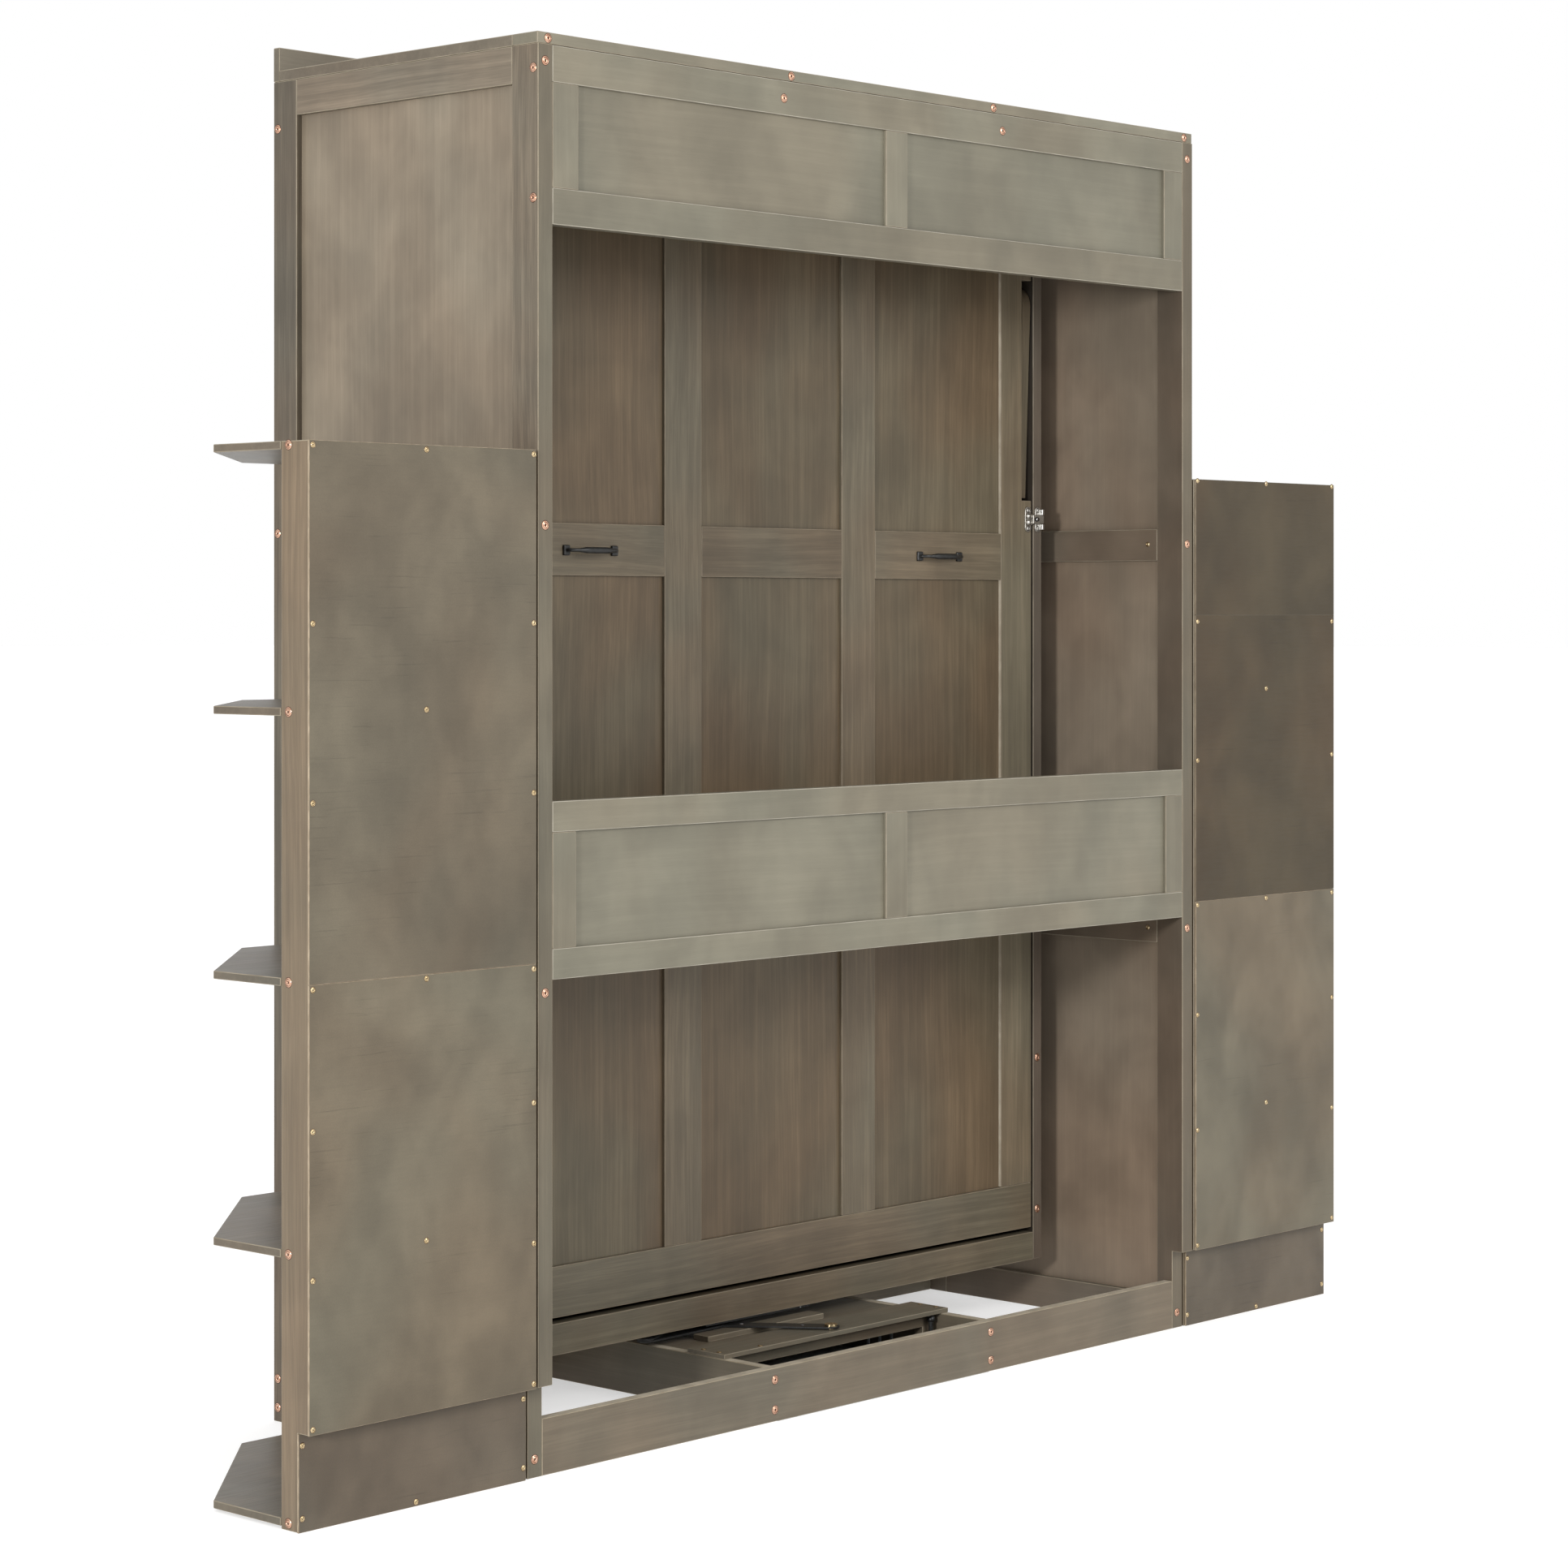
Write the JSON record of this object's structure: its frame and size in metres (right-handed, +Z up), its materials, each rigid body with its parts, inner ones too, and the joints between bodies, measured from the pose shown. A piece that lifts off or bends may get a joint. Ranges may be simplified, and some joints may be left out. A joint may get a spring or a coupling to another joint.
{
  "type": "revolving murphy wall bed",
  "caption": "Tall panelled cabinet with open corner-shelf towers; inside it a box that turns on folding arms and carries a fold-down bed with drop legs.",
  "frame": {"origin": "middle of the bounding box at floor level", "axes": "+Z up; -Y towards the room, +Y towards the wall; +X to the right as seen from the room"},
  "size_m": [2.56, 0.633, 2.242],
  "materials": {
    "wood": "grey-brown stain, satin",
    "wood_panel": "grey-brown stained veneer, satin",
    "plywood": "grey-green stained plywood, matt",
    "black_steel": "black powder coat",
    "chrome": "bright plated",
    "brass": "copper-gold plated screws and bolts"
  },
  "bodies": {
    "cabinet": {"base_back_rail": "wood", "base_front_rail": "wood", "cornice": "wood", "cross_beam_left": "wood", "cross_beam_right": "wood", "deck_board": "wood", "guide_board": "wood", "headboard_frame": "wood", "headboard_panel": "wood_panel", "header_frame": "wood", "header_panel": "wood_panel", "pivot_board": "wood", "pivot_bolt": "brass", "side_frame_left": "wood", "side_frame_right": "wood", "side_panel_left": "wood_panel", "side_panel_right": "wood_panel", "spacer_strip": "wood", "top_board": "wood", "tower_back_lower_left": "plywood", "tower_back_lower_right": "plywood", "tower_back_upper_left": "plywood", "tower_back_upper_right": "plywood", "tower_plinth_left": "plywood", "tower_plinth_right": "plywood", "tower_post_left": "wood", "tower_post_right": "wood", "tower_shelf_1_left": "wood", "tower_shelf_1_right": "wood", "tower_shelf_2_left": "wood", "tower_shelf_2_right": "wood", "tower_shelf_3_left": "wood", "tower_shelf_3_right": "wood", "tower_shelf_4_left": "wood", "tower_shelf_4_right": "wood", "tower_shelf_5_left": "wood", "tower_shelf_5_right": "wood", "tower_side_left": "wood", "tower_side_right": "wood"},
    "lower_arm": {"arm_lower": "black_steel"},
    "upper_arm": {"arm_upper": "black_steel"},
    "box": {"bed_pivot_left": "brass", "bed_pivot_right": "brass", "box_bottom": "wood", "box_side_left": "wood", "box_side_right": "wood", "box_top": "wood", "catch_body": "chrome", "front_frame": "wood", "front_panel": "wood_panel", "swivel_plate": "black_steel"},
    "bed": {"bed_face_frame": "wood", "bed_face_panel": "wood_panel", "bed_inner_frame": "wood", "catch_tongue": "chrome", "handle_left": "black_steel", "handle_right": "black_steel", "slat_rack": "wood"},
    "drop_leg_left": {"leg_left": "wood"},
    "drop_leg_right": {"leg_right": "wood"}
  },
  "joints": [
    {"name": "revolve", "type": "hinge", "parent": "cabinet", "child": "lower_arm", "pos_m": [0, 0.1615, 0.1], "axis": [0, 0, -1], "range_deg": [0, 128.7]},
    {"name": "elbow", "type": "hinge", "parent": "lower_arm", "child": "upper_arm", "pos_m": [0.30199, 0.0165, 0.1], "axis": [0, 0, 1], "range_deg": [0, 257.42]},
    {"name": "swivel", "type": "hinge", "parent": "upper_arm", "child": "box", "pos_m": [0, -0.1285, 0.1], "axis": [0, 0, 1], "range_deg": [0, 51.31]},
    {"name": "bed_fold", "type": "hinge", "parent": "box", "child": "bed", "pos_m": [0, -0.0065, 0.3645], "axis": [-1, 0, 0], "range_deg": [0, 8]},
    {"name": "leg_swing_left", "type": "hinge", "parent": "bed", "child": "drop_leg_left", "pos_m": [-0.695, -0.0005, 1.894], "axis": [1, 0, 0], "range_deg": [0, 90]},
    {"name": "leg_swing_right", "type": "hinge", "parent": "bed", "child": "drop_leg_right", "pos_m": [0.695, -0.0005, 1.894], "axis": [1, 0, 0], "range_deg": [0, 90]}
  ],
  "couplings": [
    {"joint": "elbow", "follows": "revolve", "ratio": 2},
    {"joint": "swivel", "follows": "revolve", "ratio": 0.39855}
  ]
}
